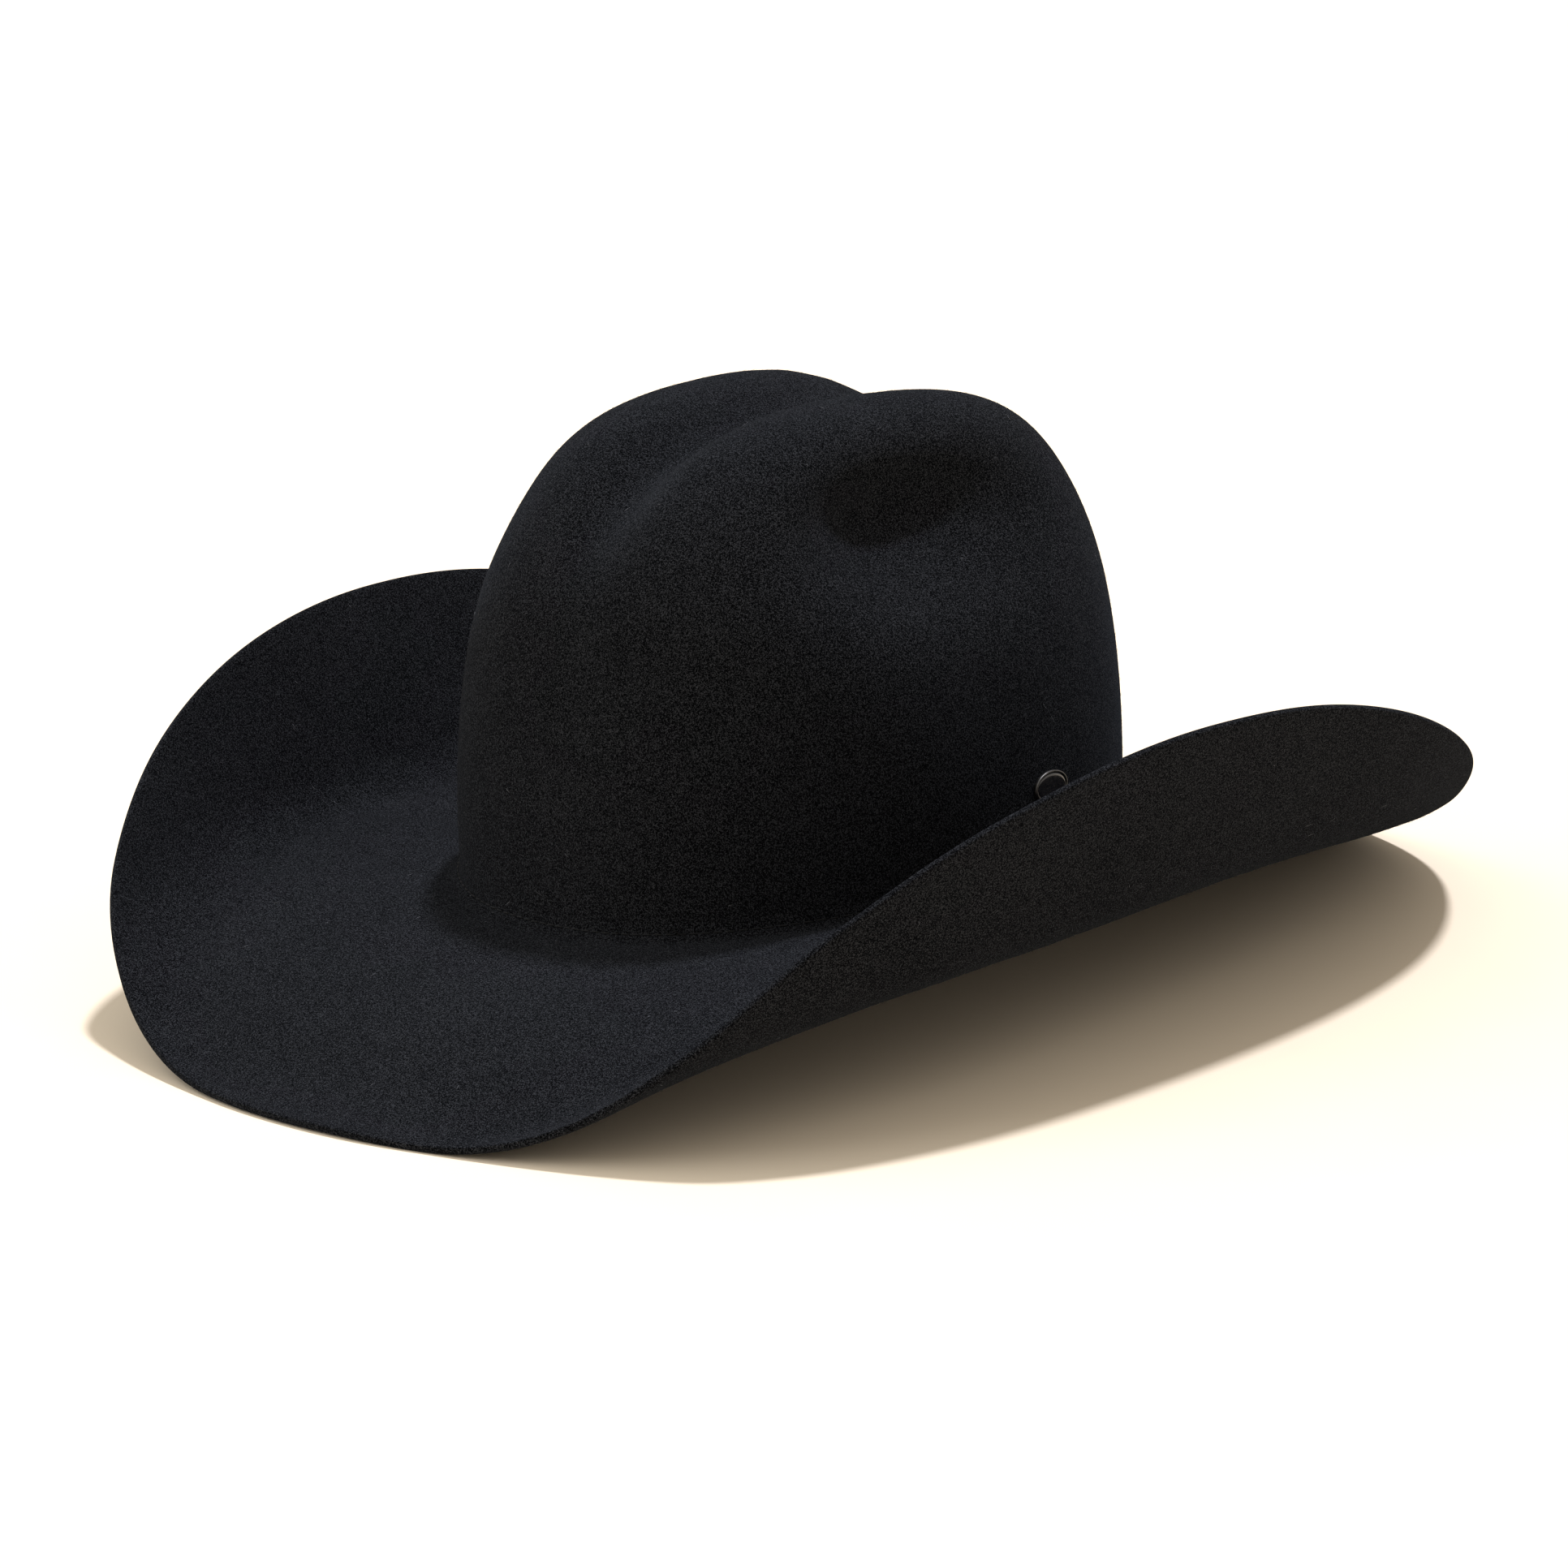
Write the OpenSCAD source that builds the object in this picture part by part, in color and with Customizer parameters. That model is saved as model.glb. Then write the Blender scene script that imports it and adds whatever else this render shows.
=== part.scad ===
// Western felt hat: a creased crown and a rolled brim in one felt body, with a
// sewn-in sweatband, a satin lining, and a small oval badge pinned to the crown.
// Frame: +X is the wearer's left, -Y is the front and +Z is up. The origin is on
// the surface that the hat stands on, under the middle of the brim.

/* [Crown] */
// Half width of the crown's outside where it meets the brim
crown_half_w = 95; // [88:0.5:101]
// Half length of the crown's outside where it meets the brim
crown_half_l = 107.5; // [101:0.5:115]
// Height of the crown before it is creased
crown_h = 143.5; // [130:0.5:150]
// How far the top of the crown sits back of its base
crown_lean = 12; // [0:0.5:16]
// Share by which the sides of the crown narrow towards the top
crown_taper = 0.043; // [0.03:0.001:0.1]
// Share by which the front of the crown is pinched
front_pinch = 0.03; // [0:0.002:0.1]

/* [Crease and dents] */
// Depth of the centre crease at the front
crease_front = 12; // [8:0.5:20]
// Depth of the centre crease at the back
crease_back = 15.5; // [10:0.5:24]
// Depth of the two side dents
dent_depth = 22; // [14:0.5:28]
// Height of the side dents above the brim
dent_z = 107.5; // [102:0.5:116]
// Place of the side dents along the hat, from the middle of the crown
dent_y = -9.5; // [-25:0.5:5]

/* [Brim] */
// Half width of the brim laid flat
brim_half_w = 221.5; // [210:0.5:230]
// Half length of the brim
brim_half_l = 210; // [200:0.5:220]
// Angle that the sides of the brim are rolled up through
roll_angle = 64.3; // [56:0.1:74]
// Distance from the centre line to the start of the roll
roll_start = 143.5; // [138:0.5:150]
// Width of brim taken up by the roll's curve
roll_w = 22; // [17:0.5:29]
// How far the front and the back of the brim dip
brim_dip = 36; // [28:0.5:44]

/* [Felt and lining] */
// Thickness of the felt
felt_t = 2.6; // [2:0.1:3.2]
// Radius of the bend between the crown and the brim
break_r = 6; // [4:0.5:9]
// Room behind the lining for the badge's clutches
lining_room = 3.2; // [3:0.1:4]
// Height of the sweatband
sweatband_h = 46; // [38:1:52]
// Thickness of the sweatband
sweatband_t = 1.2; // [0.8:0.1:1.6]
// Number of stitches round the crown
stitch_count = 168; // [120:4:200]

/* [Badge] */
// Length of the oval badge
badge_l = 16; // [12:0.5:18]
// Height of the oval badge
badge_h = 10; // [8:0.5:13]
// Height of the badge's middle above the brim
badge_z = 23.5; // [20:0.5:34]
// Radius of the badge's two posts
post_r = 0.55; // [0.4:0.05:0.8]
// Running clearance round each post in its clutch
post_clear = 0.05; // [0.02:0.01:0.1]

/* [Hidden] */

// Squareness of the crown's oval at its base and at its top (2 is an ellipse)
base_square = 2.22;
top_square = 2.94;
// Fullness of the crown's shoulder, across and upwards
shoulder_across = 4.63;
shoulder_up = 1.83;
// Narrowing of the crown's front and back, rise of its top to the back, roundness of its top line
taper_front = -0.019;
taper_back = 0.01;
top_rise = -0.005;
top_round = -0.073;
tilt_l = 105;
// Half widths of the crease, where and over what length it changes, and where up the crown it starts
crease_w_front = 15;
crease_w_back = 31;
crease_mid = 111;
crease_l = 126;
crease_low = 0.64;
crease_blend = 0.34;
// Half lengths of the side dents forwards and backwards, and their half height
dent_l_front = 36;
dent_l_back = 54;
dent_h = 20;
// Distance from the centre line within which a dent fades out
dent_inner = 31.5;
// Where along the hat the pinch comes in, over what length, and how near the top it stays
pinch_start = 26;
pinch_l = 63;
pinch_rise = 2.26;

// Middle of the brim against the middle of the crown, and squareness of the brim's outline
brim_shift = -2.6;
brim_square_front = 2.07;
brim_square_back = 2.22;
// Change in the roll's start and width at the very front and back, and how fast it comes in
roll_shift_front = -104.5;
roll_shift_back = -126;
roll_widen_front = 63;
roll_widen_back = 63.5;
roll_fade_front = 3.15;
roll_fade_back = 3.78;
// Change in the roll's angle from front to back, its loss at both ends, and how fast that comes in
roll_lean = -0.217;
roll_loss = 0.345;
roll_loss_power = 3.13;
// Steepness of the dip at the front and the back, and where it levels off to lie on a table
dip_power_front = 3.75;
dip_power_back = 3;
dip_level = 0.86;
// Tightest roll that the felt takes
roll_least = 6;

// Facets round the hat, and rows down the crown and across the brim
round_n = 64;
crown_n = 20;
brim_n = 9;
round_all = [for (i = [0:round_n - 1]) 360 * i / round_n];

// Lining: thickness, gap to the felt, lower edge and seam
layer_gap = 0.3;
lining_t = 0.4;
lining_d = felt_t + layer_gap;
lining_low = 14;
seam_row = 10;
lining_seam = seam_row / crown_n;
seam_gap = 0.004;
piping_r = 0.8;
patch_row = 6;
// Sweatband: depth under the felt, lower edge, and the gap where its ends meet
sweatband_d = lining_d + lining_t + layer_gap;
sweatband_end = 1.42;
sweatband_gap = 0.2;
inside_d = sweatband_d + sweatband_t;
reed_r = 0.9;
reed_at = 1.56;
// Stitches: radius, place on the bend, share of the pitch that shows
stitch_r = 0.25;
stitch_at = 1.45;
stitch_share = 0.82;
knot_r = 0.55;
knot_off = 0.15;
tail_l = 5;
// Where the lining and the sweatband stand away from the felt: v of the foot, then heights
room_end = 1.05;
room_full = 17;
room_ease = 58;
room_high = 84;
// Labels, on facets and rows of the lining where they lie on it, and splice
label_t = 0.15;
skin_gap = 0.1;
trim_gap = 0.35;
care_label_d = lining_d + lining_t + 0.08;
care_label_cols = [18:20];
care_label_rows = [16:18];
patch_t = 0.3;
splice_t = 0.8;
bow_off = 2.4;
// Badge: base and whole thickness, rim, post spacing, clutch
badge_base = 0.7;
badge_t = 1.3;
badge_rim = 0.9;
badge_off = 0.1;
enamel_t = 0.45;
post_apart = 8;
post_l = 5.7;
clutch_r = 3;
clutch_neck_r = 1.5;
clutch_flange = 0.8;
clutch_t = 2.2;
clutch_off = 0.6;
felt_hole_r = 0.9;

// Places of the small inner pieces round the hat: 90 is the back, 0 the wearer's left
splice_phi = 90;
bow_phi = 118;
size_label_phi = 70;
knot_phi = 298;
badge_phi = 10;

function smooth(t) = let (c = max(0, min(1, t))) c * c * (3 - 2 * c);
function mix(a, b, t) = a + (b - a) * t;
function unit(v) = v / norm(v);

// Oval with half axes a and b, at angle phi
function oval(phi, a, b, square) =
    let (
        c = cos(phi),
        s = sin(phi),
        k = pow(pow(abs(c), square) + pow(abs(s), square), -1 / square)
    )
    [a * k * c, b * k * s];

// How far along the dip a place is, levelling off near the edge
function dip_share(v) =
    let (past = max(0, v - dip_level), full = (1 + dip_level) / 2)
    (v - past * past / (2 * (1 - dip_level))) / full;

// Where a point of the flat brim lands: the sides roll up, the front and back dip
function rolled(p) =
    let (
        v = (p.y - brim_shift) / brim_half_l,
        ahead = v < 0,
        fade = pow(abs(v), ahead ? roll_fade_front : roll_fade_back),
        start = roll_start + (ahead ? roll_shift_front : roll_shift_back) * fade,
        width = max(roll_least, roll_w + (ahead ? roll_widen_front : roll_widen_back) * fade),
        turn = roll_angle * (1 + roll_lean * v - roll_loss * pow(abs(v), roll_loss_power)),
        radius = width / (turn * PI / 180),
        past = max(0, abs(p.x) - start),
        bent = min(past, width),
        angle = turn * bent / width,
        out = past > 0 ? start + radius * sin(angle) + (past - bent) * cos(turn) : abs(p.x),
        up = radius * (1 - cos(angle)) + (past - bent) * sin(turn),
        dip = brim_dip * pow(dip_share(abs(v)), ahead ? dip_power_front : dip_power_back)
    )
    [sign(p.x) * out, p.y, up - dip];

// Outside of the crown: t is 0 at the brim and 1 at the very top
function crown(phi, t) =
    let (
        across = pow(max(0, cos(90 * t)), 2 / shoulder_across),
        rise = pow(sin(90 * t), 2 / shoulder_up),
        foot = oval(phi, crown_half_w, crown_half_l, base_square),
        wall = oval(phi, crown_half_w, crown_half_l, mix(base_square, top_square, rise)),
        taper = sin(phi) < 0 ? taper_front : taper_back,
        x0 = wall.x * across * (1 - crown_taper * rise),
        y = wall.y * across * (1 - taper * rise) + crown_lean * rise,
        part = y / tilt_l,
        z0 = crown_h * rise * (1 + (top_rise * part + top_round * part * part) * rise),
        x1 = x0 * (1 - front_pinch * smooth((pinch_start - y) / pinch_l) * pow(rise, pinch_rise)),
        dent_l = y < dent_y ? dent_l_front : dent_l_back,
        dent = exp(-pow((y - dent_y) / dent_l, 2) - pow((z0 - dent_z) / dent_h, 2)),
        x2 = x1 - sign(x1) * dent * dent_depth * min(1, abs(x1) / dent_inner),
        ahead = smooth((crease_mid - y) / crease_l),
        depth = mix(crease_back, crease_front, ahead),
        spread = mix(crease_w_back, crease_w_front, ahead),
        z1 = z0 - depth * exp(-pow(x2 / spread, 2)) * smooth((z0 / crown_h - crease_low) / crease_blend),
        landed = rolled(foot),
        low = pow(1 - rise, 2)
    )
    [x2 + (landed.x - foot.x) * low, y, z1 + landed.z * low];

// Upper face of the brim: s is 0 at the crown and 1 at the edge
function brim(phi, s) =
    let (
        foot = oval(phi, crown_half_w, crown_half_l, base_square),
        square = sin(phi) < 0 ? brim_square_front : brim_square_back,
        rim = oval(phi, brim_half_w, brim_half_l, square) + [0, brim_shift]
    )
    rolled(mix(foot, rim, s));

// Ends of the bend between the crown and the brim
bend_t = asin(pow(break_r / crown_h, shoulder_up / 2)) / 90;
bend_s = break_r / (brim_half_w - crown_half_w);
lowest = brim(90, 1).z - felt_t;

// Outside of the hat: v runs from 0 at the top, over 1 and 2 at the bend's ends, to 3 at the edge
function bend(phi, u) =
    let (a = crown(phi, bend_t), b = brim(phi, 0), c = brim(phi, bend_s))
    (1 - u) * (1 - u) * a + 2 * u * (1 - u) * b + u * u * c;
function outside(phi, v) =
    v < 1 ? crown(phi, bend_t + (1 - bend_t) * (1 - pow(v, shoulder_across / 2)))
    : v < 2 ? bend(phi, v - 1)
    : brim(phi, mix(bend_s, 1, v - 2));
function outward(phi, v) =
    let (
        down = outside(phi, min(3, v + 0.01)) - outside(phi, max(0.001, v - 0.01)),
        around = outside(phi + 0.5, v) - outside(phi - 0.5, v)
    )
    unit(cross(down, around));

// The v at a height z above the brim
function level(z) =
    let (t = asin(pow(z / crown_h, shoulder_up / 2)) / 90)
    pow(1 - max(0, t - bend_t) / (1 - bend_t), 2 / shoulder_across);

// Share of the lining's room at each v: none at the bend and none in the top
band_rows = [level(room_high), level(room_ease), level(room_full), room_end];
function room(v) =
    smooth((v - band_rows[0]) / (band_rows[1] - band_rows[0]))
    * smooth((band_rows[3] - v) / (band_rows[3] - band_rows[2]));

// A place in the layers of the hat, at depth d under its outside
function layer(phi, v, d) =
    let (deep = d + (d > felt_t ? lining_room * room(v) : 0))
    outside(phi, v) - outward(phi, v) * deep - [0, brim_shift, lowest];

function span(a, b, n) = [for (i = [0:n]) mix(a, b, i / n)];

// Faces between two rows of a grid, and round a grid's edge
function quads(rows, cols, wrap, first, flip) = [
    for (j = [0:rows - 2]) for (i = [0:cols - (wrap ? 1 : 2)])
        let (
            k = (i + 1) % cols,
            a = first + j * cols + i,
            b = first + j * cols + k,
            c = first + (j + 1) * cols + k,
            d = first + (j + 1) * cols + i
        )
        each flip ? [[a, d, c], [a, c, b]] : [[a, b, c], [a, c, d]]
];
function ribbon(upper, lower, wrap) = [
    for (i = [0:len(upper) - (wrap ? 1 : 2)])
        let (k = (i + 1) % len(upper))
        each [[upper[i], lower[k], lower[i]], [upper[i], upper[k], lower[k]]]
];

// Sheet of the hat between depths d0 and d1, over the angles and rows given
module sheet(phis, vs, d0, d1, wrap = false) {
    cols = len(phis);
    rows = len(vs);
    half = rows * cols;
    top = [for (i = [0:cols - 1]) i];
    last = [for (i = [0:cols - 1]) (rows - 1) * cols + i];
    left = [for (j = [0:rows - 1]) j * cols];
    right = [for (j = [0:rows - 1]) j * cols + cols - 1];
    under = function (list) [for (k = list) k + half];
    turned = function (faces) [for (f = faces) [f[0], f[2], f[1]]];
    polyhedron(
        points = [
            for (d = [d0, d1]) for (v = vs) for (phi = phis) layer(phi, v, d)
        ],
        faces = concat(
            quads(rows, cols, wrap, 0, false),
            quads(rows, cols, wrap, half, true),
            turned(ribbon(top, under(top), wrap)),
            ribbon(last, under(last), wrap),
            wrap ? [] : ribbon(left, under(left), false),
            wrap ? [] : turned(ribbon(right, under(right), false))
        )
    );
}

// Sheet that closes over the top of the crown
module dome(phis, vs, d0, d1) {
    cols = len(phis);
    rows = len(vs);
    half = rows * cols;
    last = [for (i = [0:cols - 1]) (rows - 1) * cols + i];
    peak = function (d) [0, layer(90, 0.01, d).y, layer(90, 0.01, d).z];
    polyhedron(
        points = concat(
            [for (d = [d0, d1]) for (v = vs) for (phi = phis) layer(phi, v, d)],
            [peak(d0), peak(d1)]
        ),
        faces = concat(
            quads(rows, cols, true, 0, false),
            quads(rows, cols, true, half, true),
            ribbon(last, [for (k = last) k + half], true),
            [for (i = [0:cols - 1]) [2 * half, (i + 1) % cols, i]],
            [for (i = [0:cols - 1]) [2 * half + 1, half + i, half + (i + 1) % cols]]
        )
    );
}

// Bead that runs round the hat at one height
module bead(v, d, r, sides) {
    ring = [for (phi = round_all) layer(phi, v, d)];
    side = function (i) unit([outward(round_all[i], v).x, outward(round_all[i], v).y, 0]);
    polyhedron(
        points = [
            for (i = [0:round_n - 1]) for (a = span(0, 360 - 360 / sides, sides - 1))
                ring[i] + r * (cos(a) * side(i) + sin(a) * [0, 0, 1])
        ],
        faces = [
            for (i = [0:round_n - 1]) for (j = [0:sides - 1])
                let (
                    a = i * sides + j,
                    b = i * sides + (j + 1) % sides,
                    c = (i + 1) % round_n * sides + (j + 1) % sides,
                    d = (i + 1) % round_n * sides + j
                )
                each [[a, b, c], [a, c, d]]
        ]
    );
}

// Places its children on the hat: x runs round it, y up it and z out of it
module placed(phi, v, d) {
    out = outward(phi, v);
    along = unit([-out.y, out.x, 0]);
    up = cross(out, along);
    at = layer(phi, v, d);
    multmatrix([
        [along.x, up.x, out.x, at.x],
        [along.y, up.y, out.y, at.y],
        [along.z, up.z, out.z, at.z]
    ])
        children();
}
module on_badge() placed(badge_phi, level(badge_z), 0) children();

// Small patch of sheet: middle angle, half angle, upper and lower height, depths
module patch(phi, half, high, low, d0, d1)
    sheet(span(phi - half, phi + half, 4), [for (z = span(high, low, 4)) level(z)], d0, d1);

module oval_plate(l, h, t)
    linear_extrude(t) polygon([for (a = span(0, 352.5, 47)) [l / 2 * cos(a), h / 2 * sin(a)]]);

module felt_body() {
    rows = concat(span(1 / crown_n, 1, crown_n - 1), span(1.2, 1.8, 3), span(2, 3, brim_n));
    color([0.11, 0.115, 0.125])
        difference() {
            dome(round_all, rows, 0, felt_t);
            on_badge()
                for (x = [-post_apart / 2, post_apart / 2])
                    translate([x, 0, -felt_t * 2]) cylinder(h = felt_t * 3, r = felt_hole_r, $fn = 24);
        }
}

module sweatband() {
    ends = span(splice_phi, splice_phi + 360, round_n);
    angles = concat(
        ends[0] + sweatband_gap,
        [for (i = [1:round_n - 1]) ends[i]],
        ends[round_n] - sweatband_gap
    );
    rows = concat([for (z = span(sweatband_h, break_r + 1, 6)) level(z)], 1.1, 1.25, sweatband_end);
    color([0.16, 0.15, 0.15]) sheet(angles, rows, sweatband_d, inside_d);
}

module sweatband_reed()
    color([0.13, 0.13, 0.14]) bead(reed_at, sweatband_d + sweatband_t / 2, reed_r, 8);

// Each stitch lies on the felt and dives through it to the sweatband
module sweatband_stitching() {
    pitch = PI * (crown_half_w + crown_half_l) / stitch_count;
    bar = pitch * stitch_share;
    color([0.06, 0.06, 0.07])
        for (i = [0:stitch_count - 1])
            placed((i + 0.5) * 360 / stitch_count, stitch_at, 0) {
                translate([-bar / 2, 0, 0]) rotate([0, 90, 0]) cylinder(h = bar, r = stitch_r, $fn = 16);
                translate([bar / 2 - stitch_r, 0, -sweatband_d - sweatband_t / 2])
                    cylinder(h = sweatband_d + sweatband_t / 2, r = stitch_r * 0.8, $fn = 16);
            }
}

module sweatband_splice()
    color([0.17, 0.16, 0.16])
        patch(splice_phi, 4, sweatband_h - 2, break_r + 4, inside_d + trim_gap, inside_d + trim_gap + splice_t);

// Ribbon bow: two flat loops, two tails and a knot
module sweatband_bow() {
    color([0.10, 0.10, 0.11])
        placed(bow_phi, level(18), inside_d + bow_off)
            union() {
                for (side = [-1, 1]) {
                    rotate([0, 0, side * 12]) translate([side * 6, 0, 0]) cube([12, 6.5, 1.8], center = true);
                    rotate([0, 0, side * -40]) translate([side * 5, -4, 0]) cube([10, 5, 0.8], center = true);
                }
                cube([4, 5, 2.6], center = true);
            }
}

module lining_tip()
    color([0.16, 0.16, 0.18])
        dome(
            round_all,
            concat([for (k = [1:seam_row - 1]) k / crown_n], lining_seam - seam_gap),
            lining_d,
            lining_d + lining_t
        );

module lining_side() {
    rows = concat(
        lining_seam + seam_gap,
        [for (k = [seam_row + 1:crown_n - 1]) if (k / crown_n < level(lining_low)) k / crown_n],
        level(lining_low)
    );
    color([0.15, 0.15, 0.17]) sheet(round_all, rows, lining_d, lining_d + lining_t, wrap = true);
}

module lining_piping()
    color([0.09, 0.09, 0.10])
        bead(lining_seam, lining_d + lining_t + piping_r + 0.1, piping_r, 6);

module lining_patch()
    color([0.20, 0.20, 0.22])
        dome(
            round_all,
            [for (k = [1:patch_row]) k / crown_n],
            lining_d + lining_t + skin_gap,
            lining_d + lining_t + skin_gap + patch_t
        );

module size_label()
    color([0.75, 0.75, 0.73])
        patch(size_label_phi, 3.6, 28, 16, inside_d + trim_gap, inside_d + trim_gap + label_t);

module care_label()
    color([0.78, 0.78, 0.76])
        sheet(
            [for (i = care_label_cols) round_all[i]],
            [for (k = care_label_rows) k / crown_n],
            care_label_d,
            care_label_d + label_t
        );

// Knot and loose tail where the seam's thread ends
module thread_knot()
    color([0.05, 0.05, 0.06])
        placed(knot_phi, stitch_at, 0) {
            translate([0, 1, knot_r + knot_off]) sphere(r = knot_r, $fn = 24);
            translate([0, 1, knot_r + knot_off]) rotate([0, 75, 35]) cylinder(h = tail_l, r = stitch_r * 0.8, $fn = 16);
        }

module badge_plate()
    color([0.23, 0.23, 0.25])
        on_badge()
            translate([0, 0, badge_off])
                difference() {
                    oval_plate(badge_l, badge_h, badge_t);
                    translate([0, 0, badge_base])
                        oval_plate(badge_l - 2 * badge_rim, badge_h - 2 * badge_rim, badge_t);
                }

module badge_enamel()
    color([0.04, 0.04, 0.045])
        on_badge()
            translate([0, 0, badge_off + badge_base])
                oval_plate(badge_l - 2 * badge_rim - 0.1, badge_h - 2 * badge_rim - 0.1, enamel_t);

module badge_post(x)
    color([0.45, 0.45, 0.47])
        on_badge()
            translate([x, 0, -post_l])
                rotate_extrude($fn = 32)
                    polygon([[0, 0], [post_r * 0.3, 0], [post_r, 1], [post_r, post_l + badge_off], [0, post_l + badge_off]]);
module badge_post_front() badge_post(-post_apart / 2);
module badge_post_rear() badge_post(post_apart / 2);

module badge_clutch(x) {
    bore = post_r + post_clear;
    color([0.55, 0.52, 0.45])
        on_badge()
            translate([x, 0, -felt_t - clutch_off - clutch_t])
                rotate_extrude($fn = 48)
                    polygon([
                        [bore, 0], [clutch_neck_r, 0], [clutch_neck_r, clutch_t - clutch_flange],
                        [clutch_r, clutch_t - clutch_flange], [clutch_r, clutch_t], [bore, clutch_t]
                    ]);
}
module badge_clutch_front() badge_clutch(-post_apart / 2);
module badge_clutch_rear() badge_clutch(post_apart / 2);

felt_body();
sweatband();
sweatband_reed();
sweatband_stitching();
sweatband_splice();
sweatband_bow();
lining_tip();
lining_side();
lining_piping();
lining_patch();
size_label();
care_label();
thread_knot();
badge_plate();
badge_enamel();
badge_post_front();
badge_post_rear();
badge_clutch_front();
badge_clutch_rear();
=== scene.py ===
"""Looks of the black western felt hat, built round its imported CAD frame."""

import math

import bpy
import numpy as np
from mathutils import Matrix, Vector


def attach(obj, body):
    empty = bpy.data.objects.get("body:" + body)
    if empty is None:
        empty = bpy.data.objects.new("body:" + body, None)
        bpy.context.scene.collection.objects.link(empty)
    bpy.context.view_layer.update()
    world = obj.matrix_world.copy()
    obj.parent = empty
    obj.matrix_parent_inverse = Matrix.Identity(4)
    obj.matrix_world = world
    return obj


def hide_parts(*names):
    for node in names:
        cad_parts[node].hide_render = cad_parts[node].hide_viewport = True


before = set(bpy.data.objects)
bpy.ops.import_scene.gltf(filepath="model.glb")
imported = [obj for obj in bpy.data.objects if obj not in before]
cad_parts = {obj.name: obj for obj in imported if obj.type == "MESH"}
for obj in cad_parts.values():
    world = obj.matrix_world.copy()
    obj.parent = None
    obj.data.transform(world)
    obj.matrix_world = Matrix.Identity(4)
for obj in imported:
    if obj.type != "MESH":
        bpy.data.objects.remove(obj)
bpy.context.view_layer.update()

MM = 0.001
SEED = 7

# ---------------------------------------------------------------- the hat's surface, in mm
# The same driving dimensions and formulas as the CAD part, so that the fine meshes fit it.
CROWN_HALF_W = 95
CROWN_HALF_L = 107.5
CROWN_H = 143.5
CROWN_LEAN = 12
CROWN_TAPER = 0.043
FRONT_PINCH = 0.03
CREASE_FRONT = 12
CREASE_BACK = 15.5
DENT_DEPTH = 22
DENT_Z = 107.5
DENT_Y = -9.5
BRIM_HALF_W = 221.5
BRIM_HALF_L = 210
ROLL_ANGLE = 64.3
ROLL_START = 143.5
ROLL_W = 22
BRIM_DIP = 36
FELT_T = 2.6
BREAK_R = 6
BASE_SQUARE = 2.22
TOP_SQUARE = 2.94
SHOULDER_ACROSS = 4.63
SHOULDER_UP = 1.83
TAPER_FRONT = -0.019
TAPER_BACK = 0.01
TOP_RISE = -0.005
TOP_ROUND = -0.073
TILT_L = 105
CREASE_W_FRONT = 15
CREASE_W_BACK = 31
CREASE_MID = 111
CREASE_L = 126
CREASE_LOW = 0.64
CREASE_BLEND = 0.34
DENT_L_FRONT = 36
DENT_L_BACK = 54
DENT_H = 20
DENT_INNER = 31.5
PINCH_START = 26
PINCH_L = 63
PINCH_RISE = 2.26
BRIM_SHIFT = -2.6
BRIM_SQUARE_FRONT = 2.07
BRIM_SQUARE_BACK = 2.22
ROLL_SHIFT_FRONT = -104.5
ROLL_SHIFT_BACK = -126
ROLL_WIDEN_FRONT = 63
ROLL_WIDEN_BACK = 63.5
ROLL_FADE_FRONT = 3.15
ROLL_FADE_BACK = 3.78
ROLL_LEAN = -0.217
ROLL_LOSS = 0.345
ROLL_LOSS_POWER = 3.13
ROLL_LEAST = 6
DIP_POWER_FRONT = 3.75
DIP_POWER_BACK = 3
DIP_LEVEL = 0.86

# Under the felt: depths below its outside (D), thicknesses (T) and heights over the brim (H, Z)
# of the lining, the sweatband and the small pieces, their angles round the hat (PHI) and their
# places down its outside, as the v of outside() below (SEAM, EDGE, END, AT, VS).
LAYER_GAP = 0.3
LINING_D = FELT_T + LAYER_GAP
LINING_T = 0.4
LINING_IN = LINING_D + LINING_T
LINING_ROOM = 3.2
LINING_LOW = 14
LINING_SEAM = 0.5
SEAM_GAP = 0.004
PIPING_R = 0.8
PATCH_EDGE = 0.3
ROOM_LOW, ROOM_FULL, ROOM_EASE, ROOM_HIGH = 1.05, 17, 58, 84
SWEATBAND_D = LINING_IN + LAYER_GAP
SWEATBAND_T = 1.2
SWEATBAND_H = 46
SWEATBAND_END = 1.42
BAND_GAP = 0.25
INSIDE_D = SWEATBAND_D + SWEATBAND_T
REED_AT, REED_R = 1.56, 0.9
STITCH_AT = 1.45
STITCH_COUNT = 168
STITCH_R = 0.25
SPLICE_PHI, BOW_PHI, SIZE_LABEL_PHI, KNOT_PHI = 90, 118, 70, 298
SPLICE_HALF, SPLICE_HIGH, SPLICE_LOW = 4, SWEATBAND_H - 2, BREAK_R + 4
SIZE_LABEL_HALF, SIZE_LABEL_HIGH, SIZE_LABEL_LOW = 3.6, 28, 16
CARE_LABEL_PHIS, CARE_LABEL_VS = (101.25, 112.5), (0.80, 0.90)
BADGE_PHI, BADGE_Z = 10, 23.5
BADGE_L, BADGE_H = 16, 10


def smooth(t):
    """Eases from 0 to 1 as t does."""
    c = np.clip(t, 0, 1)
    return c * c * (3 - 2 * c)


def mix(a, b, t):
    """From a to b as t goes from 0 to 1."""
    return a + (b - a) * t


def unit(v):
    """Vectors scaled to length 1."""
    return v / np.maximum(np.linalg.norm(v, axis=-1, keepdims=True), 1e-9)


def oval(phi, a, b, square):
    """A point of an oval with half axes a and b, at angle phi in degrees."""
    c, s = np.cos(np.radians(phi)), np.sin(np.radians(phi))
    k = (np.abs(c) ** square + np.abs(s) ** square) ** (-1 / square)
    return a * k * c, b * k * s


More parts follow.
